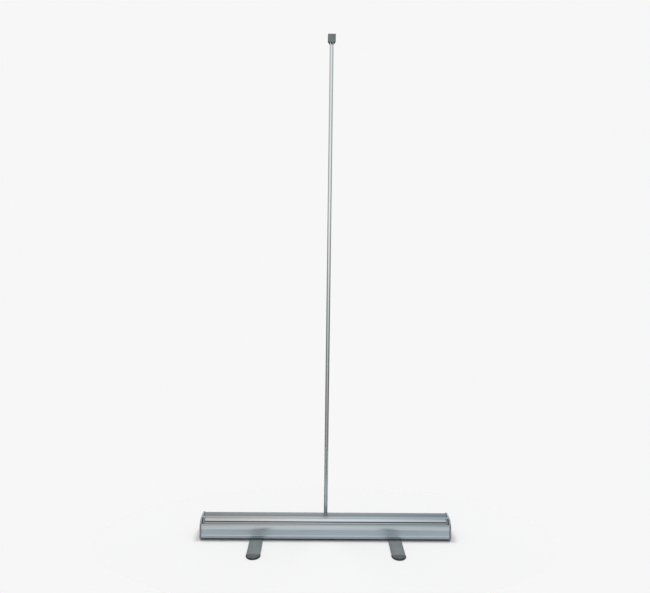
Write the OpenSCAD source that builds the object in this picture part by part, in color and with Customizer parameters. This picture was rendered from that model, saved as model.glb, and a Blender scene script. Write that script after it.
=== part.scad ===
// Roll-up banner stand with the banner wound in: an aluminium cassette on two swing-out feet,
// a three-part pole behind it, and a hook head on top that the banner's rail hangs from.
// Millimetres. +Z is up, the front faces -Y, and the origin is on the floor, midway between the feet.
// The cassette and the pole are drawn about the cassette's own middle, which is a little behind the origin.

/* [Cassette] */
// Length of the cassette extrusion, without its end plates
housing_l = 1016; // [800:2:1500]
// Thickness of one end plate
plate_t = 7; // [7:0.5:9]
// How much shorter the banner rail's extrusion is than the cassette
rail_short = 26; // [24:1:40]

/* [Pole] */
// Height of the whole stand, to the top of the hook head
stand_h = 2095; // [1700:5:2300]
// Outer diameter of the pole tubes
pole_d = 16; // [15.5:0.1:16]
// Wall thickness of the pole tubes
pole_wall = 0.9; // [0.8:0.1:1.1]

/* [Feet] */
// Distance from the cassette's middle to each foot's pivot
foot_x = 283; // [210:1:300]
// Length of a foot from tip to tip
foot_l = 346; // [300:2:380]
// Width of a foot's bar
foot_w = 54; // [46:1:56]
// How far the cassette's middle is behind the feet's pivots
cassette_y = 12; // [0:1:16]

/* [Banner] */
// Thickness of the banner film
film_t = 0.3; // [0.2:0.05:0.3]
// Radius of the banner wound on its roller
roll_r = 20.5; // [18.5:0.5:20.5]

/* [Hidden] */
$fn = 64;
eps = 0.01;

// cassette section, as seen from its +X end: first number is Y, second is Z
half_d = 47;
under_z = 6;
top_z = 80;
floor_in = 7.8;
ceil_in = 78.3;
front_in = -44.6;
rear_in = 45.3;
seat_z = 56;
seat_under = 54.4;
slot_rear = -21;
slot_wall = 1.6;
lip_z = 64.4;
shoulder_c = [12, 45];
shoulder_r = 59;
rear_r = 30;
rear_c = [half_d - rear_r, top_z - rear_r];
bead_y = -12;
bead_half = 7;
bead_rise = 1.5;
ports = [[-41.3, 11.1], [14, 11.1], [14, 75], [-16.1, 75]];
port_r = 3.6;
port_hole_r = 1.75;
screw_r = 1.7;
screw_l = 20;
head_r = 3.6;
head_h = 2.2;

// roller, wound film and lift spring
axis_y = -4;
axis_z = 36;
tube_r = 16;
tube_wall = 1.2;
tube_l = housing_l - 28;
leader_t = 0.4;
film_w = tube_l - 4;
pin_r = 4;
pin_bore = 4.06;
plug_flange_r = 17.5;
plug_flange_t = 3;
plug_spigot_l = 25;
pin_end = 5;
spring_r = 12;
wire_r = 1.1;
spring_turns = 26;
spring_gap = 0.6;
axle_l = 363;
hub_l = 18;
hub_r = 9.5;

// banner rail
rail_l = housing_l - rail_short;
rail_bottom = 56.3;
film_y = -34.2;
film_back = film_y + film_t;
rail_plug_t = 9;

// pole, from the socket's floor to the head
pole_y = 31;
pole_r = pole_d / 2;
pole_in = pole_r - pole_wall;
fit = 0.05;
socket_r = 9.8;
socket_floor = 12;
socket_top = 64.5;
neck_r = 8.9;
head_h_all = 35.5;
head_z = stand_h - head_h_all;
pole_z0 = 14.3;
pole_z3 = stand_h - 10;
pole_z1 = pole_z0 + (pole_z3 - pole_z0) / 3;
pole_z2 = pole_z0 + (pole_z3 - pole_z0) * 2 / 3;
joint_gap = 0.3;
ferrule_half = 45;
ferrule_wall = 1.4;
cord_r = 1.6;
knot_r = 2.8;

// feet
bar_z = 1.8;
bar_t = 3;
cap_wall = 1.5;
cap_l = 31;
cap_z0 = 0.8;
cap_z1 = 5.6;
cap_r = foot_w / 2 + cap_wall;
tip_y = foot_l / 2 - cap_r;
pad_r = 9;
pad_h = 1.3;
bolt_r = 3;
nut_h = 4.6;

// moves a piece drawn about the cassette's middle to its place behind the feet's pivots
module at_cassette() {
    translate([0, cassette_y, 0]) children();
}

// points along a round stretch, with angles in degrees
function arc(c, r, a0, a1, n = 8) =
    [for (i = [0:n]) let (a = a0 + (a1 - a0) * i / n) [c[0] + r * cos(a), c[1] + r * sin(a)]];

// a section drawn as [Y, Z], run along X and centred on the origin
module along_x(l) {
    rotate([90, 0, 90]) linear_extrude(l, center = true) children();
}

// a round bar along X, from x0 to x1
module bar_x(r, x0, x1, y, z) {
    translate([x0, y, z]) rotate([0, 90, 0]) cylinder(h = x1 - x0, r = r);
}

module tube_z(r, r_in, z0, z1) {
    translate([0, pole_y, z0]) difference() {
        cylinder(h = z1 - z0, r = r);
        translate([0, 0, -1]) cylinder(h = z1 - z0 + 2, r = r_in);
    }
}

// ---- cassette ----

// angle and depth at which a shoulder arc of radius r reaches height z
function shoulder_a(r, z) = 180 - asin((z - shoulder_c[1]) / r);
function shoulder_y(r, z) = shoulder_c[0] - sqrt(r * r - (z - shoulder_c[1]) ^ 2);

module housing_outline() {
    lip_in = shoulder_r - slot_wall;
    lip_y0 = shoulder_y(shoulder_r, lip_z);
    lip_y1 = shoulder_y(lip_in, lip_z);
    bead_r = (bead_half ^ 2 + bead_rise ^ 2) / (2 * bead_rise);
    bead_a = asin(bead_half / bead_r);
    polygon(concat(
        arc([-44.2, under_z + 2], 2, 180, 270),
        arc([half_d - 2, under_z + 2], 2, 270, 360),
        arc(rear_c, rear_r, 0, 90, 20),
        // low crowned bead along the top's front edge
        arc([bead_y, top_z + bead_rise - bead_r], bead_r, 90 - bead_a, 90 + bead_a),
        // rear wall and floor of the slot that the rail is parked in
        arc([slot_rear + 1.4, top_z - 1.4], 1.4, 90, 180),
        [[slot_rear, seat_z]],
        arc(shoulder_c, lip_in, shoulder_a(lip_in, seat_z), shoulder_a(lip_in, lip_z)),
        arc([(lip_y0 + lip_y1) / 2, lip_z], (lip_y1 - lip_y0) / 2, 20, 160),
        // shoulder, then the flat band, the bead and the lower band of the front face
        arc(shoulder_c, shoulder_r, shoulder_a(shoulder_r, lip_z), 180),
        [[-47, 44.2], [-46.4, 43.6]],
        arc([-44, 18.5], 3, 143.1, 216.9),
        [[-46.4, 15.4]]
    ));
}

module housing_section() {
    difference() {
        union() {
            difference() {
                housing_outline();
                polygon(concat(
                    [[front_in, floor_in], [rear_in, floor_in]],
                    arc(rear_c, rear_in - rear_c[0], 0, 90, 20),
                    [[slot_rear + slot_wall, ceil_in], [slot_rear + slot_wall, seat_under]],
                    [[front_in, seat_under]]
                ));
            }
            for (p = ports) translate(p) circle(port_r);
        }
        for (p = ports) translate(p) circle(port_hole_r);
        // slot that the film rises through
        translate([-37.5, seat_under - 1]) square([8, seat_z - seat_under + 2]);
        // shallow lines along the rear face
        for (z = [22, 40]) translate([half_d - 0.5, z]) square([1, 1.6]);
    }
}

module housing() {
    color([0.66, 0.69, 0.71]) difference() {
        along_x(housing_l) housing_section();
        translate([0, pole_y, socket_top + 1]) cylinder(h = top_z - socket_top, r = neck_r);
        for (s = [-1, 1]) translate([s * foot_x, -cassette_y, under_z - 1])
            cylinder(h = 4, r = bolt_r + fit);
    }
}

// outline of an end plate, drawn in by d all round
module plate_outline(d) {
    r = 4 - d;
    polygon(concat(
        arc([-43.7, 9.4], r, 180, 270),
        arc([43.8, 9.4], r, 270, 360),
        arc([rear_c[0] - 1.2, rear_c[1] + 1.2], rear_r + 2 - d, 0, 94, 20),
        arc([-26, 77], r, 90, 133),
        arc([-40.2, 63.9], r, 133, 160),
        arc(shoulder_c, shoulder_r + 0.7 - d, 160.5, 180)
    ));
}

module end_plate(s, pin_y, pin_z) {
    face = housing_l / 2;
    mirror([s < 0 ? 1 : 0, 0, 0]) difference() {
        union() {
            translate([face + (plate_t - 1.5) / 2, 0, 0]) along_x(plate_t - 1.5) plate_outline(0);
            translate([face + plate_t - 0.75 - eps, 0, 0]) along_x(1.5) plate_outline(1.6);
        }
        bar_x(pin_r + 0.02, face - 1, face + pin_end, pin_y, pin_z);
        for (p = ports) {
            bar_x(2, face - 1, face + plate_t + 1, p[0], p[1]);
            bar_x(head_r + 0.1, face + plate_t - head_h, face + plate_t + 1, p[0], p[1]);
        }
    }
}

module end_plate_left() {
    color([0.42, 0.45, 0.47]) end_plate(-1, axis_y, axis_z);
}

module end_plate_right() {
    color([0.42, 0.45, 0.47]) end_plate(1, axis_y, axis_z);
}

// self-tapping screws with a cross recess, driven into the cassette's screw ports
module end_screws(s) {
    seat = housing_l / 2 + plate_t - head_h;
    mirror([s < 0 ? 1 : 0, 0, 0]) for (p = ports) difference() {
        union() {
            bar_x(head_r, seat, seat + head_h - 0.4, p[0], p[1]);
            bar_x(screw_r, seat - screw_l, seat + eps, p[0], p[1]);
        }
        translate([seat + head_h - 0.4, p[0], p[1]]) {
            cube([2.4, 4.2, 0.9], center = true);
            cube([2.4, 0.9, 4.2], center = true);
        }
    }
}

module end_screws_left() {
    color([0.75, 0.75, 0.76]) end_screws(-1);
}

module end_screws_right() {
    color([0.75, 0.75, 0.76]) end_screws(1);
}

// moulded cup that the pole stands in; its neck comes up through the rear shoulder, trimmed flush with it
module pole_socket() {
    color([0.3, 0.32, 0.33]) difference() {
        intersection() {
            translate([0, pole_y, floor_in]) union() {
                cylinder(h = socket_top - floor_in, r = socket_r);
                cylinder(h = top_z, r = neck_r - 0.02);
            }
            along_x(3 * socket_r) housing_outline();
        }
        translate([0, pole_y, socket_floor]) cylinder(h = top_z, r = pole_r + 0.08);
    }
}

// ---- roller inside the cassette ----

module idle_pin() {
    x0 = -housing_l / 2;
    color([0.72, 0.72, 0.73]) union() {
        bar_x(pin_r, x0 - pin_end, x0 + 34, axis_y, axis_z);
        bar_x(7, x0 + eps, x0 + 2.5, axis_y, axis_z);
    }
}

module spring_axle() {
    x1 = housing_l / 2;
    color([0.72, 0.72, 0.73]) union() {
        bar_x(pin_r, x1 + pin_end - axle_l, x1 + pin_end, axis_y, axis_z);
        bar_x(7, x1 - 2.5, x1 - eps, axis_y, axis_z);
    }
}

// hub that holds the fixed end of the lift spring
module spring_hub() {
    x0 = housing_l / 2 + pin_end - axle_l + 2;
    color([0.18, 0.18, 0.19]) difference() {
        union() {
            bar_x(hub_r, x0, x0 + hub_l, axis_y, axis_z);
            bar_x(spring_r + wire_r, x0, x0 + 4, axis_y, axis_z);
        }
        bar_x(pin_r + 0.02, x0 - 1, x0 + hub_l + 1, axis_y, axis_z);
    }
}

module roller_tube() {
    x = tube_l / 2;
    color([0.7, 0.72, 0.74]) difference() {
        bar_x(tube_r, -x, x, axis_y, axis_z);
        bar_x(tube_r - tube_wall, -x - 1, x + 1, axis_y, axis_z);
    }
}

module roller_plug(s) {
    x = tube_l / 2;
    mirror([s < 0 ? 1 : 0, 0, 0]) difference() {
        union() {
            bar_x(plug_flange_r, x, x + plug_flange_t, axis_y, axis_z);
            bar_x(tube_r - tube_wall - 0.02, x - plug_spigot_l, x + eps, axis_y, axis_z);
        }
        bar_x(pin_bore, x - plug_spigot_l - 1, x + plug_flange_t + 1, axis_y, axis_z);
    }
}

module roller_plug_left() {
    color([0.2, 0.2, 0.21]) roller_plug(-1);
}

module roller_plug_right() {
    color([0.2, 0.2, 0.21]) roller_plug(1);
}

// torsion spring between the turning plug and the fixed hub
module lift_spring() {
    x1 = tube_l / 2 - plug_spigot_l;
    x0 = housing_l / 2 + pin_end - axle_l + 2 + hub_l + spring_gap;
    steps = spring_turns * 12;
    sides = 6;
    pitch = (x1 - x0 - 2 * wire_r) / steps;
    points = [
        for (i = [0:steps]) for (j = [0:sides - 1])
            let (a = i * 30, b = j * 360 / sides, r = spring_r + wire_r * cos(b))
                [x0 + wire_r + i * pitch + wire_r * sin(b), axis_y + r * cos(a), axis_z + r * sin(a)]
    ];
    walls = [
        for (i = [0:steps - 1]) for (j = [0:sides - 1])
            let (a = i * sides + j, b = i * sides + (j + 1) % sides)
                [a, a + sides, b + sides, b]
    ];
    ends = [[for (j = [0:sides - 1]) j], [for (j = [sides - 1:-1:0]) steps * sides + j]];
    color([0.35, 0.36, 0.38]) polyhedron(points, concat(walls, ends), convexity = 10);
}

// one wrap of the leader film that ties the banner to the roller
module leader_wrap() {
    x = film_w / 2;
    color([0.16, 0.17, 0.18]) difference() {
        bar_x(tube_r + leader_t, -x, x, axis_y, axis_z);
        bar_x(tube_r, -x - 1, x + 1, axis_y, axis_z);
    }
}

module banner_roll() {
    x = film_w / 2;
    color([0.93, 0.93, 0.92]) difference() {
        bar_x(roll_r, -x, x, axis_y, axis_z);
        bar_x(tube_r + leader_t, -x - 1, x + 1, axis_y, axis_z);
    }
}

// ---- banner rail, parked in its slot ----

module rail_front_section() {
    difference() {
        polygon([
            [-43.2, 66.8], [-38.9, 70.35], [-38.9, 68.6], [-35.5, 69.4], [-35.5, 73.1],
            [-28.2, 79.1], [-28.2, 77.4], [film_y, 72.4], [film_y, rail_bottom],
            [-41.2, rail_bottom], [-41.2, 66], [-42.8, 66]
        ]);
        polygon([[-39.7, 58], [-35.6, 58], [-35.6, 66.8], [-39.7, 65.4]]);
    }
}

module rail_back_section() {
    difference() {
        polygon(concat(
            [[film_back, rail_bottom], [film_back, 72.2], [-27.9, 77.2], [-27.9, 79.4]],
            arc([-24.9, 78.3], 1.7, 100, 0),
            [[-23.2, 60], [-24.8, 60], [-24.8, 70], [-28.8, 70], [-28.8, rail_bottom]]
        ));
        polygon([[-32.5, 58], [-30.2, 58], [-30.2, 72.6], [-32.5, 70.8]]);
    }
}

module rail_front() {
    color([0.74, 0.77, 0.79]) along_x(rail_l) rail_front_section();
}

module rail_back() {
    color([0.70, 0.73, 0.75]) along_x(rail_l) rail_back_section();
}

// end plug: a flange shaped like the rail, with two tongues in its hollows
module rail_plug(s) {
    x = rail_l / 2;
    mirror([s < 0 ? 1 : 0, 0, 0]) {
        translate([x + rail_plug_t / 2, 0, 0]) along_x(rail_plug_t) polygon(concat(
            [[-42.9, 66.7], [-28.2, 78.9]],
            arc([-24.9, 78.1], 1.6, 100, 0),
            [[-23.3, 60.2], [-24.7, 60.2], [-28.9, 58], [-28.9, rail_bottom]],
            [[-41.1, rail_bottom], [-41.1, 66.1]]
        ));
        translate([x - 6, 0, 0]) along_x(12 + 2 * eps) {
            polygon([[-39.6, 58.1], [-35.7, 58.1], [-35.7, 66.6], [-39.6, 65.3]]);
            polygon([[-32.4, 58.1], [-30.3, 58.1], [-30.3, 72.3], [-32.4, 70.6]]);
        }
    }
}

module rail_plug_left() {
    color([0.45, 0.47, 0.48]) rail_plug(-1);
}

module rail_plug_right() {
    color([0.45, 0.47, 0.48]) rail_plug(1);
}

// the banner's top edge, gripped between the rail's two halves
module banner_hem() {
    color([0.93, 0.93, 0.92]) translate([-film_w / 2, film_y, rail_bottom])
        cube([film_w, film_t, 15]);
}

// the short stretch of film between the roll and the rail
module banner_web() {
    dy = film_y + film_t / 2 - axis_y;
    dz = rail_bottom - axis_z;
    reach = norm([dy, dz]);
    // where the film leaves the roll, just clear of its face
    a = atan2(dz, dy) + acos((roll_r + film_t) / reach);
    leave = [axis_y + (roll_r + film_t) * cos(a), axis_z + (roll_r + film_t) * sin(a)];
    away = [cos(a), sin(a)] * film_t / 2;
    top = [film_y + film_t / 2, rail_bottom];
    color([0.93, 0.93, 0.92]) along_x(film_w) polygon([leave - away, top - away, top + away, leave + away]);
}

// ---- feet ----

module foot_bar(s) {
    translate([s * foot_x, 0, bar_z]) difference() {
        linear_extrude(bar_t) union() {
            square([foot_w, 2 * tip_y], center = true);
            for (e = [-1, 1]) translate([0, e * tip_y]) circle(foot_w / 2);
        }
        translate([0, 0, -1]) cylinder(h = bar_t + 2, r = bolt_r + 0.06);
        // pressed lines along both edges
        for (e = [-1, 1]) translate([e * (foot_w / 2 - 3.5), 0, bar_t])
            cube([1.2, 2 * tip_y - 10, 0.8], center = true);
    }
}

module foot_cap(s, e) {
    translate([s * foot_x, 0, 0]) mirror([0, e > 0 ? 0 : 1, 0]) difference() {
        translate([0, 0, cap_z0]) linear_extrude(cap_z1 - cap_z0) intersection() {
            translate([-cap_r, foot_l / 2 - cap_l]) square([2 * cap_r, cap_l]);
            union() {
                translate([-cap_r, tip_y - cap_r]) square([2 * cap_r, cap_r]);
                translate([0, tip_y]) circle(cap_r);
            }
        }
        // pocket for the bar's round end
        translate([0, 0, bar_z]) linear_extrude(bar_t) union() {
            translate([-foot_w / 2, tip_y - cap_l]) square([foot_w, cap_l]);
            translate([0, tip_y]) circle(foot_w / 2 + 0.02);
        }
        translate([0, tip_y, cap_z0 - 1]) cylinder(h = 1 + pad_h - cap_z0, r = pad_r + 0.02);
        // curved finger line in the top
        translate([0, tip_y, cap_z1 - 0.35]) difference() {
            cylinder(h = 1, r = cap_r - 5);
            translate([0, 0, -1]) cylinder(h = 3, r = cap_r - 7);
            translate([-cap_r, -2 * cap_r, -1]) cube([2 * cap_r, 2 * cap_r + 2, 3]);
        }
    }
}

module foot_pads(s) {
    for (e = [-1, 1]) translate([s * foot_x, e * tip_y, 0]) cylinder(h = pad_h, r = pad_r);
}

module foot_bar_left() {
    color([0.48, 0.51, 0.5]) foot_bar(-1);
}

module foot_bar_right() {
    color([0.48, 0.51, 0.5]) foot_bar(1);
}

module foot_cap_front_left() {
    color([0.3, 0.32, 0.31]) foot_cap(-1, -1);
}

module foot_cap_rear_left() {
    color([0.3, 0.32, 0.31]) foot_cap(-1, 1);
}

module foot_cap_front_right() {
    color([0.3, 0.32, 0.31]) foot_cap(1, -1);
}

module foot_cap_rear_right() {
    color([0.3, 0.32, 0.31]) foot_cap(1, 1);
}

module foot_pads_left() {
    color([0.1, 0.1, 0.1]) foot_pads(-1);
}

module foot_pads_right() {
    color([0.1, 0.1, 0.1]) foot_pads(1);
}

// flat-headed pivot bolts, through each foot into the cassette's floor
module foot_bolts() {
    color([0.7, 0.7, 0.71]) for (s = [-1, 1]) translate([s * foot_x, 0, 0]) {
        translate([0, 0, 0.5]) cylinder(h = bar_z - 0.5, r = 8);
        translate([0, 0, bar_z - eps]) cylinder(h = floor_in + nut_h + 1 - bar_z, r = bolt_r);
    }
}

module foot_nuts() {
    color([0.7, 0.7, 0.71]) for (s = [-1, 1]) translate([s * foot_x, 0, floor_in]) difference() {
        cylinder(h = nut_h, r = 5.77, $fn = 6);
        translate([0, 0, -1]) cylinder(h = nut_h + 2, r = bolt_r + 0.02);
    }
}

// slip washers between each foot and the cassette
module foot_washers() {
    color([0.85, 0.85, 0.82]) for (s = [-1, 1]) translate([s * foot_x, 0, bar_z + bar_t]) difference() {
        cylinder(h = under_z - bar_z - bar_t, r = 9);
        translate([0, 0, -1]) cylinder(h = 4, r = bolt_r + 0.02);
    }
}

// ---- pole ----

module pole_lower() {
    color([0.72, 0.74, 0.76]) tube_z(pole_r, pole_in, pole_z0, pole_z1);
}

module pole_middle() {
    color([0.72, 0.74, 0.76]) tube_z(pole_r, pole_in, pole_z1 + joint_gap, pole_z2);
}

module pole_upper() {
    color([0.72, 0.74, 0.76]) tube_z(pole_r, pole_in, pole_z2 + joint_gap, pole_z3);
}

// plug in the pole's foot, with a pocket for the cord's knot
module pole_foot_plug() {
    color([0.15, 0.15, 0.16]) translate([0, pole_y, 0]) difference() {
        union() {
            translate([0, 0, socket_floor + 0.3]) cylinder(h = pole_z0 - socket_floor - 0.3, r = pole_r);
            translate([0, 0, pole_z0 - eps]) cylinder(h = 16, r = pole_in - 0.02);
        }
        translate([0, 0, socket_floor]) cylinder(h = 10, r = knot_r + 0.4);
        cylinder(h = 60, r = cord_r + 0.1);
    }
}

module ferrule(z) {
    tube_z(pole_in - fit, pole_in - fit - ferrule_wall, z - ferrule_half, z + ferrule_half);
}

module ferrule_lower() {
    color([0.55, 0.56, 0.57]) ferrule(pole_z1);
}

module ferrule_upper() {
    color([0.55, 0.56, 0.57]) ferrule(pole_z2);
}

// elastic cord that runs through all three tubes, knotted at both ends
module bungee_cord() {
    z0 = socket_floor + 4;
    z1 = pole_z3 - 12;
    color([0.12, 0.12, 0.13]) translate([0, pole_y, 0]) {
        translate([0, 0, z0 + 1]) cylinder(h = z1 - z0 - 2, r = cord_r);
        for (z = [z0 + 1.5, z1 + 1]) translate([0, 0, z]) sphere(knot_r);
    }
}

// disc wedged near the pole's top, which the cord's upper knot pulls on
module cord_anchor() {
    color([0.15, 0.15, 0.16]) translate([0, pole_y, pole_z3 - 22]) difference() {
        cylinder(h = 8, r = pole_in - 0.02);
        translate([0, 0, -1]) cylinder(h = 10, r = cord_r + 0.1);
    }
}

// front view outlines of the head, as [X, height above its lowest point]
module head_part(y0, y1, points) {
    translate([0, y1, head_z]) rotate([90, 0, 0]) linear_extrude(y1 - y0) polygon(points);
}

// moulded hook head: a hollow cap over the pole, with an upright lip in front for the rail to hang on
module pole_head() {
    w = 16.6;
    wall = 1.8;
    h = head_h_all;
    y0 = pole_y - 14;
    y1 = pole_y + 10.5;
    lip_y = pole_y - 21.8;
    lip_t = 2.8;
    color([0.44, 0.48, 0.47]) difference() {
        union() {
            // front wall, rear wall with its lower corners cut away, then the sides and the top
            head_part(y0, y0 + 2, [[-w, h], [-w, 10.5], [w, 10.5], [w, h]]);
            head_part(y1 - 2, y1, [[-w, h], [-w, 10.5], [-8.3, 0], [8.3, 0], [w, 10.5], [w, h]]);
            for (s = [-1, 1]) head_part(y0, y1, [
                [s * w, h], [s * w, 10.5], [s * (w - wall), 9.5], [s * (w - wall), h]
            ]);
            head_part(y0, y1, [[-w, h], [-w, h - 4.5], [w, h - 4.5], [w, h]]);
            // sleeve round the pole, with a rib each side
            translate([0, pole_y, head_z + 10]) cylinder(h = h - 12, r = 10);
            for (s = [-1, 1]) translate([s * 12.4, pole_y, head_z + h / 2 + 5])
                cube([7, 1.6, h - 12], center = true);
            // ledge with a gabled underside, upright lip, and a thicker gabled foot to the lip
            head_part(lip_y, y0 + eps, [[-w, 4.5], [0, 8.5], [w, 4.5], [w, 8.5], [0, 12.5], [-w, 8.5]]);
            head_part(lip_y, lip_y + lip_t, [
                [-w, 0.5], [w, 0.5], [w, h - 1], [w - 1, h], [-w + 1, h], [-w, h - 1]
            ]);
            head_part(lip_y - 1.2, lip_y + eps, [[-w, 0.5], [w, 0.5], [w, 4], [0, 8.5], [-w, 4]]);
        }
        translate([0, pole_y, head_z - 1]) cylinder(h = pole_z3 - head_z + 1, r = pole_r + 0.02);
    }
}

at_cassette() housing();
at_cassette() end_plate_left();
at_cassette() end_plate_right();
at_cassette() end_screws_left();
at_cassette() end_screws_right();
at_cassette() pole_socket();
at_cassette() idle_pin();
at_cassette() spring_axle();
at_cassette() spring_hub();
foot_bolts();
foot_nuts();
foot_washers();
foot_bar_left();
foot_cap_front_left();
foot_cap_rear_left();
foot_pads_left();
foot_bar_right();
foot_cap_front_right();
foot_cap_rear_right();
foot_pads_right();
at_cassette() roller_tube();
at_cassette() roller_plug_left();
at_cassette() roller_plug_right();
at_cassette() lift_spring();
at_cassette() leader_wrap();
at_cassette() banner_roll();
at_cassette() rail_front();
at_cassette() rail_back();
at_cassette() rail_plug_left();
at_cassette() rail_plug_right();
at_cassette() banner_hem();
at_cassette() banner_web();
at_cassette() pole_lower();
at_cassette() pole_foot_plug();
at_cassette() ferrule_lower();
at_cassette() pole_middle();
at_cassette() ferrule_upper();
at_cassette() bungee_cord();
at_cassette() pole_upper();
at_cassette() cord_anchor();
at_cassette() pole_head();
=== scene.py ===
import math

import bmesh
import bpy
from mathutils import Euler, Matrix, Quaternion, Vector


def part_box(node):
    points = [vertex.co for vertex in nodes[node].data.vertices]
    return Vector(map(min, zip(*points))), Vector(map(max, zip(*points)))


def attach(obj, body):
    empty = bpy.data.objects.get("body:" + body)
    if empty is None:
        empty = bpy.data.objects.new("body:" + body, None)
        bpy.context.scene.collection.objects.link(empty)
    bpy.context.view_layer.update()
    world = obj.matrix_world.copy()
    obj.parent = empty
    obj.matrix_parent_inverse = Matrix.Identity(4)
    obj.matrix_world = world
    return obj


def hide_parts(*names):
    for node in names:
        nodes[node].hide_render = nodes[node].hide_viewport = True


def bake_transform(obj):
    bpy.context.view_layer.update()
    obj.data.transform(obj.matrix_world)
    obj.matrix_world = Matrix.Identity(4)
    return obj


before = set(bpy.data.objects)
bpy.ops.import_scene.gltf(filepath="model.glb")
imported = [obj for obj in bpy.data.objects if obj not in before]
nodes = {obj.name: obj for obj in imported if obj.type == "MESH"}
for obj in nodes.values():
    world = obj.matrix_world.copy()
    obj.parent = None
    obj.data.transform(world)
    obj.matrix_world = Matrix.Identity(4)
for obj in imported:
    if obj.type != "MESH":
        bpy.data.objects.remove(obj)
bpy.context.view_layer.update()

MM = 0.001


# ---------------------------------------------------------------------------
# Viewpoint. A level camera at chest height, two and a quarter metres in front
# of the cassette and turned a little to the right, with its frame shifted down
# and the camera itself tipped slightly about its own axis.
# ---------------------------------------------------------------------------
housing_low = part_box("housing")[0]
camera_data = bpy.data.cameras.new("viewpoint")
camera_data.lens = 30.21
camera_data.sensor_width = 36.0
camera_data.shift_y = -0.0853
camera = bpy.data.objects.new("viewpoint", camera_data)
bpy.context.scene.collection.objects.link(camera)
camera.location = (-0.0499, housing_low.y - 2.2295, 1.2252)
pan = Quaternion((0, 0, 1), math.radians(-0.806))
level = Euler((math.radians(90), 0, 0)).to_quaternion()
tip = Quaternion((0, 0, 1), math.radians(0.747))
camera.rotation_mode = "QUATERNION"
camera.rotation_quaternion = pan @ level @ tip
bpy.context.scene.camera = camera


# ---------------------------------------------------------------------------
# Cassette housing. One hollow aluminium extrusion, satin anodised, with fine
# die lines along its length; sawn off square, then drilled for the pole socket
# and the two foot bolts. Its sawn edges are lightly broken.
# ---------------------------------------------------------------------------
def new_material(name, colour, metallic, roughness):
    """A material and its shader, before any texture is added."""
    material = bpy.data.materials.new(name)
    material.use_nodes = True
    shader = material.node_tree.nodes["Principled BSDF"]
    shader.inputs["Base Color"].default_value = (*colour, 1)
    shader.inputs["Metallic"].default_value = metallic
    shader.inputs["Roughness"].default_value = roughness
    return material, shader


def grain(material, per_metre, stretch=(1, 1, 1), detail=3.0):
    """A noise pattern fixed to the stand, with its patches per metre and its stretch on each axis."""
    tree = material.node_tree
    place = tree.nodes.new("ShaderNodeTexCoord")
    spread = tree.nodes.new("ShaderNodeMapping")
    spread.inputs["Scale"].default_value = stretch
    pattern = tree.nodes.new("ShaderNodeTexNoise")
    pattern.inputs["Scale"].default_value = per_metre
    pattern.inputs["Detail"].default_value = detail
    tree.links.new(place.outputs["Object"], spread.inputs["Vector"])
    tree.links.new(spread.outputs["Vector"], pattern.inputs["Vector"])
    return pattern.outputs[0]


def tones(material, shader, pattern, dark, light):
    """Base colour that runs from dark to light with a pattern."""
    tree = material.node_tree
    ramp = tree.nodes.new("ShaderNodeValToRGB")
    ramp.color_ramp.elements[0].position = 0.32
    ramp.color_ramp.elements[0].color = (*dark, 1)
    ramp.color_ramp.elements[1].position = 0.68
    ramp.color_ramp.elements[1].color = (*light, 1)
    tree.links.new(pattern, ramp.inputs["Fac"])
    tree.links.new(ramp.outputs["Color"], shader.inputs["Base Color"])
    return ramp.outputs["Color"]


def polish(material, shader, pattern, smooth, rough):
    """Roughness that runs from smooth to rough with a pattern."""
    tree = material.node_tree
    spread = tree.nodes.new("ShaderNodeMapRange")
    spread.inputs["From Min"].default_value = 0.3
    spread.inputs["From Max"].default_value = 0.7
    spread.inputs["To Min"].default_value = smooth
    spread.inputs["To Max"].default_value = rough
    tree.links.new(pattern, spread.inputs["Value"])
    tree.links.new(spread.outputs["Result"], shader.inputs["Roughness"])


def relief(material, shader, pattern, depth, strength, under=None):
    """Surface relief of a given depth in metres, on top of an earlier relief if there is one."""
    tree = material.node_tree
    bump = tree.nodes.new("ShaderNodeBump")
    bump.inputs["Distance"].default_value = depth
    bump.inputs["Strength"].default_value = strength
    tree.links.new(pattern, bump.inputs["Height"])
    if under:
        tree.links.new(under, bump.inputs["Normal"])
    tree.links.new(bump.outputs["Normal"], shader.inputs["Normal"])
    return bump.outputs["Normal"]


def worn_edges(material, shader, colour, bright, share):
    """Edges rubbed paler, wherever the surface turns sharply outward."""
    tree = material.node_tree
    shape = tree.nodes.new("ShaderNodeNewGeometry")
    edge = tree.nodes.new("ShaderNodeMapRange")
    edge_starts, edge_full = 0.52, 0.60
    edge.inputs["From Min"].default_value = edge_starts
    edge.inputs["From Max"].default_value = edge_full
    edge.inputs["To Max"].default_value = share
    blend = tree.nodes.new("ShaderNodeMix")
    blend.data_type = "RGBA"
    blend.inputs["B"].default_value = (*bright, 1)
    tree.links.new(shape.outputs["Pointiness"], edge.inputs["Value"])
    tree.links.new(edge.outputs["Result"], blend.inputs["Factor"])
    tree.links.new(colour, blend.inputs["A"])
    tree.links.new(blend.outputs["Result"], shader.inputs["Base Color"])


def drawn_metal(name, dark, light, smooth, rough, along):
    """Aluminium with die lines along one axis ("X" or "Z"), under a satin anodised skin."""
    material, shader = new_material(name, light, 1.0, rough)
    lines = (4, 900, 900) if along == "X" else (900, 900, 4)
    cloud = (3, 30, 30) if along == "X" else (30, 30, 3)
    die_lines = grain(material, 1.0, lines, detail=4.0)
    colour = tones(material, shader, grain(material, 1.0, cloud), dark, light)
    polish(material, shader, die_lines, smooth, rough)
    under = relief(material, shader, grain(material, 9000, detail=1.0), 0.00001, 0.25)
    relief(material, shader, die_lines, 0.00004, 0.35, under)
    worn_edges(material, shader, colour, [min(1, c * 1.25) for c in light], 0.5)
    return material


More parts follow.
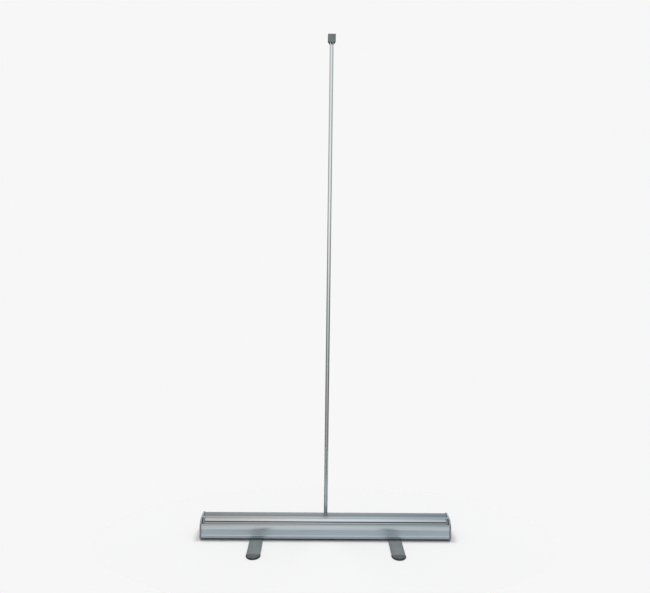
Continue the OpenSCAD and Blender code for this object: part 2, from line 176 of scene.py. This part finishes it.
def broken_edges(node, edge, steps=2, corner=30):
    """A node's own solid as a fresh mesh, with each corner sharper than so many degrees rounded."""
    bm = bmesh.new()
    bm.from_mesh(nodes[node].data)
    bmesh.ops.remove_doubles(bm, verts=bm.verts, dist=0.002 * MM)
    flat = math.radians(0.4)
    bmesh.ops.dissolve_limit(bm, angle_limit=flat, verts=bm.verts, edges=bm.edges)
    turn = math.radians(corner)
    sharp = [e for e in bm.edges if e.is_manifold and e.calc_face_angle() > turn]
    bmesh.ops.bevel(
        bm, geom=sharp, offset=edge, segments=steps, profile=0.5, affect="EDGES", clamp_overlap=False
    )
    return bm


def piece_from(bm, name, material, crease=35):
    """An object from a bmesh, shaded smooth except across edges sharper than crease degrees."""
    mesh = bpy.data.meshes.new(name)
    bm.to_mesh(mesh)
    bm.free()
    mesh.materials.append(material)
    mesh.shade_smooth()
    mesh.set_sharp_from_angle(angle=math.radians(crease))
    obj = bpy.data.objects.new(name, mesh)
    bpy.context.scene.collection.objects.link(obj)
    return obj


def stands_for(obj, body, slot, *replaced):
    """A finished piece takes the place of its CAD nodes on their body."""
    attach(obj, body)
    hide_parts(*replaced)
    return obj


def paint(material, *names):
    """CAD nodes whose shape is right keep it, and take a better surface."""
    for name in names:
        nodes[name].data.materials.clear()
        nodes[name].data.materials.append(material)


def object_axes(tree):
    """The X, Y and Z of a point on the stand, for a finish that changes from place to place."""
    place = tree.nodes.new("ShaderNodeTexCoord")
    axes = tree.nodes.new("ShaderNodeSeparateXYZ")
    tree.links.new(place.outputs["Object"], axes.inputs["Vector"])
    return axes.outputs


def shaded_by(material, share, tone):
    """Base colour multiplied by a tone, as far as a share from 0 to 1 says."""
    tree = material.node_tree
    shader = tree.nodes["Principled BSDF"]
    mixed = tree.nodes.new("ShaderNodeMix")
    mixed.data_type = "RGBA"
    mixed.blend_type = "MULTIPLY"
    mixed.inputs["B"].default_value = (*tone, 1)
    tree.links.new(share, mixed.inputs["Factor"])
    tree.links.new(shader.inputs["Base Color"].links[0].from_socket, mixed.inputs["A"])
    tree.links.new(mixed.outputs["Result"], shader.inputs["Base Color"])


def rougher_with_painted_shade(material, tone, rougher, within):
    """A zone of the surface that is rougher and carries painted shade: colour times tone, and rougher,
    within the limits.
    """
    tree = material.node_tree
    shader = tree.nodes["Principled BSDF"]
    axes = object_axes(tree)
    zone = None
    for axis, low, high in within:
        test = tree.nodes.new("ShaderNodeMath")
        test.operation = "COMPARE"
        test.inputs[1].default_value = (low + high) / 2
        test.inputs[2].default_value = (high - low) / 2
        tree.links.new(axes[axis], test.inputs[0])
        if zone:
            both = tree.nodes.new("ShaderNodeMath")
            both.operation = "MULTIPLY"
            tree.links.new(zone, both.inputs[0])
            tree.links.new(test.outputs["Value"], both.inputs[1])
            zone = both.outputs["Value"]
        else:
            zone = test.outputs["Value"]
    shaded_by(material, zone, tone)
    duller = tree.nodes.new("ShaderNodeMath")
    duller.operation = "MULTIPLY_ADD"
    duller.inputs[1].default_value = rougher
    tree.links.new(zone, duller.inputs[0])
    tree.links.new(shader.inputs["Roughness"].links[0].from_socket, duller.inputs[2])
    tree.links.new(duller.outputs["Value"], shader.inputs["Roughness"])


satin_extrusion = drawn_metal(
    "satin_extrusion", (0.45, 0.505, 0.53), (0.49, 0.545, 0.57), 0.3, 0.4, "X"
)
# the flat band and lower strip of the front face are brushed and rougher, with painted shade
# darkening them; the underside, the lip's top and the slot are rougher, with darker painted shade
front = ("Y", housing_low.y - 1 * MM, housing_low.y + 3 * MM)
floor_z = housing_low.z
flat_band = ("Z", floor_z + 16 * MM, floor_z + 38 * MM)
lower_strip = ("Z", floor_z + 2 * MM, floor_z + 9.4 * MM)
rougher_with_painted_shade(satin_extrusion, (0.9, 0.95, 0.99), 0.3, [front, flat_band])
rougher_with_painted_shade(satin_extrusion, (0.8, 0.84, 0.9), 0.3, [front, lower_strip])
# painted shade: the bottom edge, in shadow over the floor, is painted nearly black
below = ("Z", floor_z - 1 * MM, floor_z + 1.8 * MM)
rougher_with_painted_shade(satin_extrusion, (0.16, 0.16, 0.19), 0.2, [below])
# painted shade: the lip's top, beside the gap under the rail, is painted darker, and rougher
lip_across = ("Y", housing_low.y, housing_low.y + 5 * MM)
lip_top = ("Z", floor_z + 53 * MM, floor_z + 61 * MM)
rougher_with_painted_shade(satin_extrusion, (0.8, 0.79, 0.77), 0.1, [lip_across, lip_top])
# painted shade: the inside of the slot is painted dark, and rougher
slot_across = ("Y", housing_low.y + 3.6 * MM, housing_low.y + 26.2 * MM)
slot_deep = ("Z", floor_z + 49 * MM, floor_z + 72.4 * MM)
rougher_with_painted_shade(satin_extrusion, (0.35, 0.35, 0.35), 0.2, [slot_across, slot_deep])
housing_skin = piece_from(broken_edges("housing", 0.15 * MM), "housing_skin", satin_extrusion)
stands_for(housing_skin, "cassette", "extrusion", "housing")


# ---------------------------------------------------------------------------
# End plates. Grey moulded plates that close the cassette's ends and carry the
# roller, each held by four self-tapping screws in the extrusion's ports.
# ---------------------------------------------------------------------------
def moulded(name, dark, light, smooth, rough, texture):
    """Moulded plastic with a fine eroded texture of the given depth, and edges rubbed a little paler."""
    material, shader = new_material(name, light, 0.0, rough)
    colour = tones(material, shader, grain(material, 60, detail=5.0), dark, light)
    polish(material, shader, grain(material, 400, detail=4.0), smooth, rough)
    relief(material, shader, grain(material, 3500, detail=2.0), texture, 0.5)
    worn_edges(material, shader, colour, [min(1, c * 1.5 + 0.02) for c in light], 0.45)
    return material


plate_grey = moulded("plate_grey", (0.13, 0.145, 0.155), (0.17, 0.185, 0.195), 0.35, 0.5, 0.00004)
for side in ("left", "right"):
    node = f"end_plate_{side}"
    plate = piece_from(broken_edges(node, 0.6 * MM, 3), f"{node}_moulding", plate_grey)
    stands_for(plate, "cassette", "end_plate_plastic", node)

zinc, zinc_shader = new_material("zinc_plate", (0.62, 0.62, 0.6), 1.0, 0.3)
tones(zinc, zinc_shader, grain(zinc, 250, detail=4.0), (0.5, 0.5, 0.49), (0.68, 0.68, 0.66))
polish(zinc, zinc_shader, grain(zinc, 900, detail=3.0), 0.22, 0.4)
relief(zinc, zinc_shader, grain(zinc, 2500, detail=2.0), 0.00003, 0.4)
paint(zinc, "end_screws_left", "end_screws_right", "idle_pin", "spring_axle", "foot_bolts", "foot_nuts")


# ---------------------------------------------------------------------------
# Pole socket. A black moulded cup under the cassette's top wall; only its thin
# neck shows, as a ring round the pole.
# ---------------------------------------------------------------------------
black_moulding = moulded("black_moulding", (0.018, 0.018, 0.02), (0.03, 0.03, 0.032), 0.35, 0.5, 0.00003)
paint(black_moulding, "pole_socket", "spring_hub", "roller_plug_left", "roller_plug_right")


# ---------------------------------------------------------------------------
# Roller. A mill-finish aluminium tube that turns on two plugs, with a wrap of
# dark leader film that the banner is taped to.
# ---------------------------------------------------------------------------
def turned(outline, centre, axis, steps=64):
    """A part turned round a line: a closed outline of (radius, place along the axis) points."""
    bm = bmesh.new()
    rings = []
    for k in range(steps):
        a = 2 * math.pi * k / steps
        if axis == "X":
            ring = [(s, centre[1] + r * math.cos(a), centre[2] + r * math.sin(a)) for r, s in outline]
        else:
            ring = [(centre[0] + r * math.cos(a), centre[1] + r * math.sin(a), s) for r, s in outline]
        rings.append([bm.verts.new(p) for p in ring])
    count = len(outline)
    for k in range(steps):
        here, there = rings[k], rings[(k + 1) % steps]
        for i in range(count):
            j = (i + 1) % count
            bm.faces.new((here[i], there[i], there[j], here[j]))
    bmesh.ops.remove_doubles(bm, verts=bm.verts, dist=1e-7)
    bmesh.ops.recalc_face_normals(bm, faces=bm.faces)
    return bm


def tube_outline(outer, inner, start, end, edge):
    """A tube's wall, with both its ends chamfered inside and out."""
    return [
        (inner + edge, start), (outer - edge, start), (outer, start + edge),
        (outer, end - edge), (outer - edge, end), (inner + edge, end),
        (inner, end - edge), (inner, start + edge),
    ]


mill_finish = drawn_metal("mill_finish", (0.42, 0.44, 0.46), (0.5, 0.52, 0.54), 0.3, 0.45, "X")
tube_low, tube_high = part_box("roller_tube")
roller_centre = (tube_low + tube_high) / 2
tube_radius = (tube_high.z - tube_low.z) / 2
tube_wall = 1.2 * MM
outline = tube_outline(tube_radius, tube_radius - tube_wall, tube_low.x, tube_high.x, 0.3 * MM)
roller_tube = piece_from(turned(outline, roller_centre, "X", 72), "roller_tube_drawn", mill_finish)
stands_for(roller_tube, "roller", "roller", "roller_tube")

leader = moulded("leader_film", (0.03, 0.032, 0.036), (0.045, 0.048, 0.052), 0.25, 0.4, 0.00001)
paint(leader, "leader_wrap")


# ---------------------------------------------------------------------------
# Lift spring. A torsion spring of oiled round wire inside the roller, wound
# between the turning plug and the fixed hub; it pulls the banner back in.
# ---------------------------------------------------------------------------
oiled_wire, wire_shader = new_material("oiled_wire", (0.2, 0.2, 0.21), 1.0, 0.35)
tones(oiled_wire, wire_shader, grain(oiled_wire, 300, detail=4.0), (0.13, 0.12, 0.12), (0.26, 0.26, 0.27))
polish(oiled_wire, wire_shader, grain(oiled_wire, 700, detail=3.0), 0.25, 0.45)
relief(oiled_wire, wire_shader, grain(oiled_wire, 1800, detail=2.0), 0.00003, 0.4)

spring_low, spring_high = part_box("lift_spring")
wire_radius = 1.1 * MM
coil_radius = (spring_high.z - spring_low.z) / 2 - wire_radius
spring_turns = 26
steps_a_turn = 32
wire_sides = 12
start_x = spring_low.x + wire_radius
climb = (spring_high.x - spring_low.x - 2 * wire_radius) / spring_turns
bm = bmesh.new()
rings = []
for k in range(spring_turns * steps_a_turn + 1):
    a = 2 * math.pi * k / steps_a_turn
    ring = []
    for j in range(wire_sides):
        b = 2 * math.pi * j / wire_sides
        r = coil_radius + wire_radius * math.cos(b)
        x = start_x + climb * k / steps_a_turn + wire_radius * math.sin(b)
        ring.append(bm.verts.new((x, roller_centre.y + r * math.cos(a), roller_centre.z + r * math.sin(a))))
    rings.append(ring)
for here, there in zip(rings, rings[1:]):
    for j in range(wire_sides):
        after = (j + 1) % wire_sides
        bm.faces.new((here[j], there[j], there[after], here[after]))
bm.faces.new(rings[0])
bm.faces.new(rings[-1])
bmesh.ops.recalc_face_normals(bm, faces=bm.faces)
lift_spring = piece_from(bm, "lift_spring_coil", oiled_wire)
stands_for(lift_spring, "roller", "spring_steel", "lift_spring")


# ---------------------------------------------------------------------------
# Banner. Blank matt white film, one piece from the roller to the rail. Most of
# it is wound on the roller; a short stretch rises through the cassette's slot
# to the rail's grip. The roll holds enough film to reach the head.
# ---------------------------------------------------------------------------
film, film_shader = new_material("blank_film", (0.82, 0.82, 0.81), 0.0, 0.5)
tones(film, film_shader, grain(film, 25, detail=5.0), (0.79, 0.79, 0.785), (0.83, 0.83, 0.82))
polish(film, film_shader, grain(film, 600, detail=3.0), 0.42, 0.55)
relief(film, film_shader, grain(film, 2400, detail=2.0), 0.00002, 0.35)

roll_low, roll_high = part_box("banner_roll")
web_low, web_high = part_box("banner_web")
hem_low, hem_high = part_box("banner_hem")
film_thick = 0.2 * MM


def thicken(sheet):
    """The film's thickness, half to each side of the sheet's mesh."""
    thickness = sheet.modifiers.new("film", "SOLIDIFY")
    thickness.thickness = film_thick
    thickness.offset = 0


roll_outer = (roll_high.z - roll_low.z) / 2 - film_thick
roll_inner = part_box("leader_wrap")[1].z - roller_centre.z + film_thick
wrap_pitch = 0.208 * MM
wraps = (roll_outer - roll_inner) / wrap_pitch
leave_angle = math.atan2(web_low.z - roller_centre.z, web_high.y - roller_centre.y)
bm = bmesh.new()
lines = []
steps_a_wrap = 48
for k in range(round(wraps * steps_a_wrap) + 1):
    a = leave_angle + 2 * math.pi * k / steps_a_wrap
    r = roll_outer - wrap_pitch * k / steps_a_wrap
    y = roller_centre.y + r * math.cos(a)
    z = roller_centre.z + r * math.sin(a)
    lines.append([bm.verts.new((x, y, z)) for x in (roll_low.x, 0, roll_high.x)])
for here, there in zip(lines, lines[1:]):
    for j in range(2):
        bm.faces.new((here[j], there[j], there[j + 1], here[j + 1]))
banner_roll = piece_from(bm, "banner_wound", film)
thicken(banner_roll)
stands_for(banner_roll, "roller", "banner_film", "banner_roll")
film_width = roll_high.x - roll_low.x

film_y = (hem_low.y + hem_high.y) / 2
slot_bottom = hem_low.z - 1.8 * MM
path = [(web_high.y, web_low.z)]
for k in range(1, 9):
    share = k / 8
    path.append((web_high.y + (film_y - web_high.y) * share, web_low.z + (slot_bottom - web_low.z) * share))
path += [(film_y, slot_bottom + (hem_low.z - slot_bottom) * k / 40) for k in range(1, 41)]
path += [(film_y, hem_low.z + (hem_high.z - hem_low.z) * k / 4) for k in range(1, 5)]
bm = bmesh.new()
columns = 16
lines = []
for y, z in path:
    lines.append([bm.verts.new((roll_low.x + film_width * i / columns, y, z)) for i in range(columns + 1)])
for here, there in zip(lines, lines[1:]):
    for j in range(columns):
        bm.faces.new((here[j], here[j + 1], there[j + 1], there[j]))
banner_web = piece_from(bm, "banner_drawn_out", film)
thicken(banner_web)
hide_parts("banner_web", "banner_hem")
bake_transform(banner_web)


# ---------------------------------------------------------------------------
# Banner rail. Two aluminium extrusions that snap together over the banner's
# top edge; bright anodised, with a moulded plug pressed into each end.
# ---------------------------------------------------------------------------
bright_extrusion = drawn_metal(
    "bright_extrusion", (0.47, 0.505, 0.52), (0.51, 0.545, 0.56), 0.26, 0.36, "X"
)
# the groove along the front half carries dark painted shade, and the nose below it lighter painted shade and
# a rougher finish than the rest
rail_low, rail_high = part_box("rail_front")
groove_across = ("Y", rail_low.y + 4.35 * MM, rail_low.y + 7.75 * MM)
groove_deep = ("Z", rail_high.z - 11 * MM, rail_high.z - 6.4 * MM)
rougher_with_painted_shade(bright_extrusion, (0.16, 0.17, 0.18), 0.25, [groove_across, groove_deep])
# painted shade: the nose is painted darker, and rougher
nose = ("Y", rail_low.y - 0.5 * MM, rail_low.y + 4.3 * MM)
rougher_with_painted_shade(bright_extrusion, (0.66, 0.67, 0.66), 0.15, [nose])
for half in ("front", "back"):
    rail = piece_from(broken_edges(f"rail_{half}", 0.12 * MM), f"rail_{half}_skin", bright_extrusion)
    stands_for(rail, "rail", "rail_extrusion", f"rail_{half}")
plug_grey = moulded("plug_grey", (0.05, 0.056, 0.06), (0.066, 0.072, 0.076), 0.35, 0.5, 0.00003)
for side in ("left", "right"):
    plug = piece_from(broken_edges(f"rail_plug_{side}", 0.3 * MM), f"rail_plug_{side}_moulding", plug_grey)
    stands_for(plug, "rail", "plug_plastic", f"rail_plug_{side}")


# ---------------------------------------------------------------------------
# Feet. Each is a flat steel bar, powder coated grey, that swings on a bolt
# under the cassette, with a moulded cap pushed on each round end.
# ---------------------------------------------------------------------------
coat, coat_shader = new_material("grey_powder_coat", (0.08, 0.09, 0.092), 0.0, 0.45)
coat_cloud = grain(coat, 40, detail=5.0)
coat_colour = tones(coat, coat_shader, coat_cloud, (0.064, 0.075, 0.077), (0.077, 0.088, 0.09))
polish(coat, coat_shader, grain(coat, 500, detail=4.0), 0.36, 0.52)
relief(coat, coat_shader, grain(coat, 1600, detail=3.0), 0.00008, 0.5)
worn_edges(coat, coat_shader, coat_colour, (0.14, 0.15, 0.15), 0.4)
# painted shade: the bar's sides, below 4.3 mm, are painted darker, and rougher
rougher_with_painted_shade(coat, (0.45, 0.45, 0.45), 0.1, [("Z", 0, 4.3 * MM)])

cap_grey = moulded("cap_grey", (0.031, 0.036, 0.035), (0.039, 0.045, 0.044), 0.4, 0.58, 0.00005)
# painted shade: the cap's sides, below 5.1 mm, are painted dark, and rougher
rougher_with_painted_shade(cap_grey, (0.3, 0.3, 0.3), 0.15, [("Z", 0, 5.1 * MM)])
rubber, rubber_shader = new_material("pad_rubber", (0.02, 0.02, 0.02), 0.0, 0.75)
tones(rubber, rubber_shader, grain(rubber, 200, detail=5.0), (0.012, 0.012, 0.012), (0.03, 0.03, 0.03))
relief(rubber, rubber_shader, grain(rubber, 2200, detail=3.0), 0.00006, 0.6)


def foot_cap(name, centre_x, low, high, outward):
    """A push-on cap: a crowned top with a finger line, round sides, and a pocket for the bar's end."""
    radius = (high.x - low.x) / 2
    inner_y = low.y if outward > 0 else high.y
    tip_y = (high.y if outward > 0 else low.y) - outward * radius
    floor, top = low.z, high.z
    cap_wall = 1.5 * MM
    pocket_floor, pocket_top = floor + 1.0 * MM, floor + 4.0 * MM
    under_edge = 1.2 * MM
    rim_in, rim_down = 3.4 * MM, 1.9 * MM
    finger_line, line_deep = 5.2 * MM, 0.35 * MM
    # (distance in from the rim, height) from under the cap's middle, round the rim, to its crown
    outside = [(radius, floor), (under_edge, floor)]
    outside += [
        (under_edge * (1 - math.sin(a)), floor + under_edge * (1 - math.cos(a)))
        for a in [math.radians(18 * k) for k in range(1, 6)]
    ]
    shoulder = top - 0.5 * MM
    outside += [
        (rim_in * (1 - math.cos(a)), shoulder - rim_down * (1 - math.sin(a)))
        for a in [math.radians(18 * k) for k in range(0, 6)]
    ]
    outside += [
        (finger_line, shoulder + 0.1 * MM), (finger_line + 0.4 * MM, shoulder - line_deep),
        (finger_line + 1.7 * MM, shoulder - line_deep), (finger_line + 2.1 * MM, shoulder + 0.15 * MM),
        (radius * 0.6, top - 0.1 * MM), (radius, top),
    ]
    inside = [(radius, pocket_top), (cap_wall, pocket_top), (cap_wall, pocket_floor), (radius, pocket_floor)]
    turns = 32
    bm = bmesh.new()

    def skin(profile):
        rows = []
        for inset, z in profile:
            reach = radius - inset
            row = [bm.verts.new((centre_x - reach, inner_y, z))]
            for k in range(turns + 1):
                a = math.pi * k / turns
                spot = (centre_x - reach * math.cos(a), tip_y + outward * reach * math.sin(a), z)
                row.append(bm.verts.new(spot))
            row.append(bm.verts.new((centre_x + reach, inner_y, z)))
            rows.append(row)
        for here, there in zip(rows, rows[1:]):
            for k in range(len(here) - 1):
                bm.faces.new((here[k], here[k + 1], there[k + 1], there[k]))
        return rows

    outer, inner = skin(outside), skin(inside)
    for end in (0, -1):
        bm.faces.new([row[end] for row in outer] + [row[end] for row in inner])
    bmesh.ops.remove_doubles(bm, verts=bm.verts, dist=1e-6)
    bmesh.ops.dissolve_degenerate(bm, edges=bm.edges, dist=1e-7)
    bmesh.ops.recalc_face_normals(bm, faces=bm.faces)
    return piece_from(bm, name, cap_grey, 40)


for side in ("left", "right"):
    body = f"foot_{side}"
    bar = piece_from(broken_edges(f"foot_bar_{side}", 0.35 * MM), f"foot_bar_{side}_coated", coat)
    stands_for(bar, body, "foot_metal", f"foot_bar_{side}")
    for end, outward in (("front", -1), ("rear", 1)):
        node = f"foot_cap_{end}_{side}"
        low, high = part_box(node)
        cap = foot_cap(f"{node}_moulding", (low.x + high.x) / 2, low, high, outward)
        stands_for(cap, body, "foot_cap_plastic", node)
paint(rubber, "foot_pads_left", "foot_pads_right")

nylon = moulded("natural_nylon", (0.6, 0.59, 0.54), (0.68, 0.67, 0.62), 0.3, 0.45, 0.00002)
paint(nylon, "foot_washers")


# ---------------------------------------------------------------------------
# Pole. Three lengths of bright anodised aluminium tube, joined by ferrules that
# are fixed in the lower tube of each pair and slide into the upper one.
# ---------------------------------------------------------------------------
def painted_shade_below(material, tone, full, none):
    """Painted shade: colour times tone below one height, easing back to nothing at a second one."""
    tree = material.node_tree
    fade = tree.nodes.new("ShaderNodeMapRange")
    fade.interpolation_type = "SMOOTHSTEP"
    fade.inputs["From Min"].default_value = none
    fade.inputs["From Max"].default_value = full
    tree.links.new(object_axes(tree)["Z"], fade.inputs["Value"])
    shaded_by(material, fade.outputs["Result"], tone)


bright_tube = drawn_metal("bright_tube", (0.68, 0.715, 0.71), (0.72, 0.755, 0.75), 0.14, 0.22, "Z")
# painted shade: the tube's reflections are darkened toward its foot
painted_shade_below(bright_tube, (0.46, 0.49, 0.5), 0.2, 0.42)
pole_wall = 0.9 * MM
ferrule_wall = 1.4 * MM
for section in ("lower", "middle", "upper"):
    node = f"pole_{section}"
    low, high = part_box(node)
    pole_centre = (low + high) / 2
    outer = (high.x - low.x) / 2
    outline = tube_outline(outer, outer - pole_wall, low.z, high.z, 0.35 * MM)
    tube = piece_from(turned(outline, pole_centre, "Z"), f"{node}_tube", bright_tube)
    stands_for(tube, node, "pole_tube", node)
for ferrule, body in (("ferrule_lower", "pole_lower"), ("ferrule_upper", "pole_middle")):
    low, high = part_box(ferrule)
    outer = (high.x - low.x) / 2
    outline = tube_outline(outer, outer - ferrule_wall, low.z, high.z, 0.6 * MM)
    sleeve = piece_from(turned(outline, pole_centre, "Z"), f"{ferrule}_tube", mill_finish)
    stands_for(sleeve, body, "roller", ferrule)
paint(black_moulding, "pole_foot_plug", "cord_anchor")


# ---------------------------------------------------------------------------
# Elastic cord. Braided black bungee inside the pole, knotted under the foot
# plug and over the top anchor.
# ---------------------------------------------------------------------------
braid, braid_shader = new_material("black_braid", (0.02, 0.02, 0.022), 0.0, 0.8)
braid_shader.inputs["Sheen Weight"].default_value = 0.4
weave = grain(braid, 1.0, (1500, 1500, 500), detail=2.0)
tones(braid, braid_shader, weave, (0.01, 0.01, 0.012), (0.045, 0.045, 0.05))
relief(braid, braid_shader, weave, 0.0002, 0.8)

cord_low, cord_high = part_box("bungee_cord")
cord_radius = 1.6 * MM
knot_radius = (cord_high.x - cord_low.x) / 2
middle_low, middle_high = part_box("pole_middle")
cord_split = (middle_low.z + middle_high.z) / 2


def cord_part(name, start, end, knot_at_start):
    """Half of the cord: a round braid with a knot at its outer end, and rings close enough to stretch."""
    rings_along = 60
    outline = [(0, start)]
    for k in range(rings_along + 1):
        z = start + (end - start) * k / rings_along
        outline.append((cord_radius, z))
    outline.append((0, end))
    bm = turned(outline, pole_centre, "Z", 20)
    knot_z = start + knot_radius if knot_at_start else end - knot_radius
    knot = bmesh.ops.create_uvsphere(bm, u_segments=20, v_segments=12, radius=knot_radius)
    bmesh.ops.translate(bm, verts=knot["verts"], vec=Vector((pole_centre.x, pole_centre.y, knot_z)))
    return piece_from(bm, name, braid)


cord_lower = cord_part("bungee_lower", cord_low.z, cord_split, True)
cord_upper = cord_part("bungee_upper", cord_split, cord_high.z, False)
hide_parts("bungee_cord")
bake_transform(cord_lower)
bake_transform(cord_upper)


# ---------------------------------------------------------------------------
# Hook head. A grey-green moulded cap pressed on the pole's top: hollow below,
# with ribs either side of the tube, and an upright lip that the rail hangs on.
# ---------------------------------------------------------------------------
head_green = moulded("head_green", (0.138, 0.182, 0.174), (0.172, 0.217, 0.209), 0.38, 0.52, 0.00005)
head = piece_from(broken_edges("pole_head", 0.35 * MM, 2), "pole_head_moulding", head_green)
stands_for(head, "pole_upper", "head_plastic", "pole_head")


# ---------------------------------------------------------------------------
# Studio. A small plain pale floor under two broad soft overhead lights, leaning
# out to either side, in a surround that is brightest overhead and in front and
# dimmer behind and to the sides, a touch warm at the left and cool at the right.
# ---------------------------------------------------------------------------
floor_mesh = bmesh.new()
bmesh.ops.create_circle(floor_mesh, cap_ends=True, segments=96, radius=1.0)
bmesh.ops.scale(floor_mesh, vec=(0.95, 0.45, 1), verts=floor_mesh.verts)
floor_data = bpy.data.meshes.new("studio_floor")
floor_mesh.to_mesh(floor_data)
floor_mesh.free()
floor = bpy.data.objects.new("studio_floor", floor_data)
bpy.context.scene.collection.objects.link(floor)
floor_paint, floor_shader = new_material("pale_floor", (0.365, 0.365, 0.365), 0.0, 0.9)
floor_shader.inputs["Specular IOR Level"].default_value = 0.0
floor_data.materials.append(floor_paint)

for side, lean in (("left", -15), ("right", 15)):
    sun_data = bpy.data.lights.new(f"soft_overhead_{side}", "SUN")
    sun_data.energy = 2.8
    sun_data.angle = math.radians(20)
    sun = bpy.data.objects.new(f"soft_overhead_{side}", sun_data)
    sun.rotation_euler = Euler((math.radians(-9.5), math.radians(lean), 0))
    sun.visible_glossy = False
    bpy.context.scene.collection.objects.link(sun)

world = bpy.data.worlds.new("studio")
bpy.context.scene.world = world
world.use_nodes = True
sky = world.node_tree
surround = sky.nodes["Background"]
facing = sky.nodes.new("ShaderNodeTexCoord")
axes = sky.nodes.new("ShaderNodeSeparateXYZ")
sky.links.new(facing.outputs["Generated"], axes.inputs["Vector"])


def sky_math(operation, a, b):
    """A sum, product or angle of two values or sockets."""
    step = sky.nodes.new("ShaderNodeMath")
    step.operation = operation
    for socket, value in zip(step.inputs, (a, b)):
        if isinstance(value, (int, float)):
            socket.default_value = value
        else:
            sky.links.new(value, socket)
    return step.outputs[0]


def sky_ramp(value, low, high, stops):
    """Grey levels set at stops between a low and a high input value."""
    share = sky.nodes.new("ShaderNodeMapRange")
    share.inputs["From Min"].default_value = low
    share.inputs["From Max"].default_value = high
    sky.links.new(value, share.inputs["Value"])
    levels = sky.nodes.new("ShaderNodeValToRGB")
    levels.color_ramp.elements.remove(levels.color_ramp.elements[1])
    for k, (stop, level) in enumerate(stops):
        if k == 0:
            element = levels.color_ramp.elements[0]
            element.position = (stop - low) / (high - low)
        else:
            element = levels.color_ramp.elements.new((stop - low) / (high - low))
        element.color = (level, level, level, 1)
    sky.links.new(share.outputs["Result"], levels.inputs["Fac"])
    return levels.outputs["Color"]


# degrees over the top: 0 is level in front, 90 overhead, 180 level behind
toward_front = sky_math("MULTIPLY", axes.outputs["Y"], -1)
over_the_top = sky_math(
    "MULTIPLY", sky_math("ARCTAN2", axes.outputs["Z"], toward_front), 180 / math.pi
)
height = sky_ramp(over_the_top, -180, 180, [
    (-180, 0.34), (-90, 0.28), (-27, 0.32), (-14, 0.5), (-5, 0.85), (5, 1.1), (16, 0.95),
    (30, 0.95), (74, 1.15), (112, 1.0), (153, 0.52), (180, 0.34),
])
sideways = sky_ramp(axes.outputs["X"], -1, 1, [
    (-1, 0.6), (-0.5, 0.8), (-0.15, 1.12), (0.15, 1.12), (0.5, 0.78), (1, 0.45),
])
tint = sky.nodes.new("ShaderNodeMix")
tint.data_type = "RGBA"
tint.inputs["A"].default_value = (1.06, 0.98, 0.94, 1)
tint.inputs["B"].default_value = (0.93, 1.01, 1.07, 1)
sky.links.new(sky_ramp(axes.outputs["X"], -1, 1, [(-0.3, 0.0), (0.3, 1.0)]), tint.inputs["Factor"])
surround.inputs["Color"].default_value = (1, 1, 1, 1)
sky.links.new(tint.outputs["Result"], surround.inputs["Color"])
sky.links.new(sky_math("MULTIPLY", height, sideways), surround.inputs["Strength"])

# the surround itself is seen as plain pale paper
paper = sky.nodes.new("ShaderNodeBackground")
paper.inputs["Color"].default_value = (0.93, 0.93, 0.93, 1)
seen = sky.nodes.new("ShaderNodeLightPath")
either = sky.nodes.new("ShaderNodeMixShader")
sky.links.new(seen.outputs["Is Camera Ray"], either.inputs["Fac"])
sky.links.new(surround.outputs["Background"], either.inputs[1])
sky.links.new(paper.outputs["Background"], either.inputs[2])
sky.links.new(either.outputs["Shader"], sky.nodes["World Output"].inputs["Surface"])
bpy.context.scene.view_settings.view_transform = "Standard"
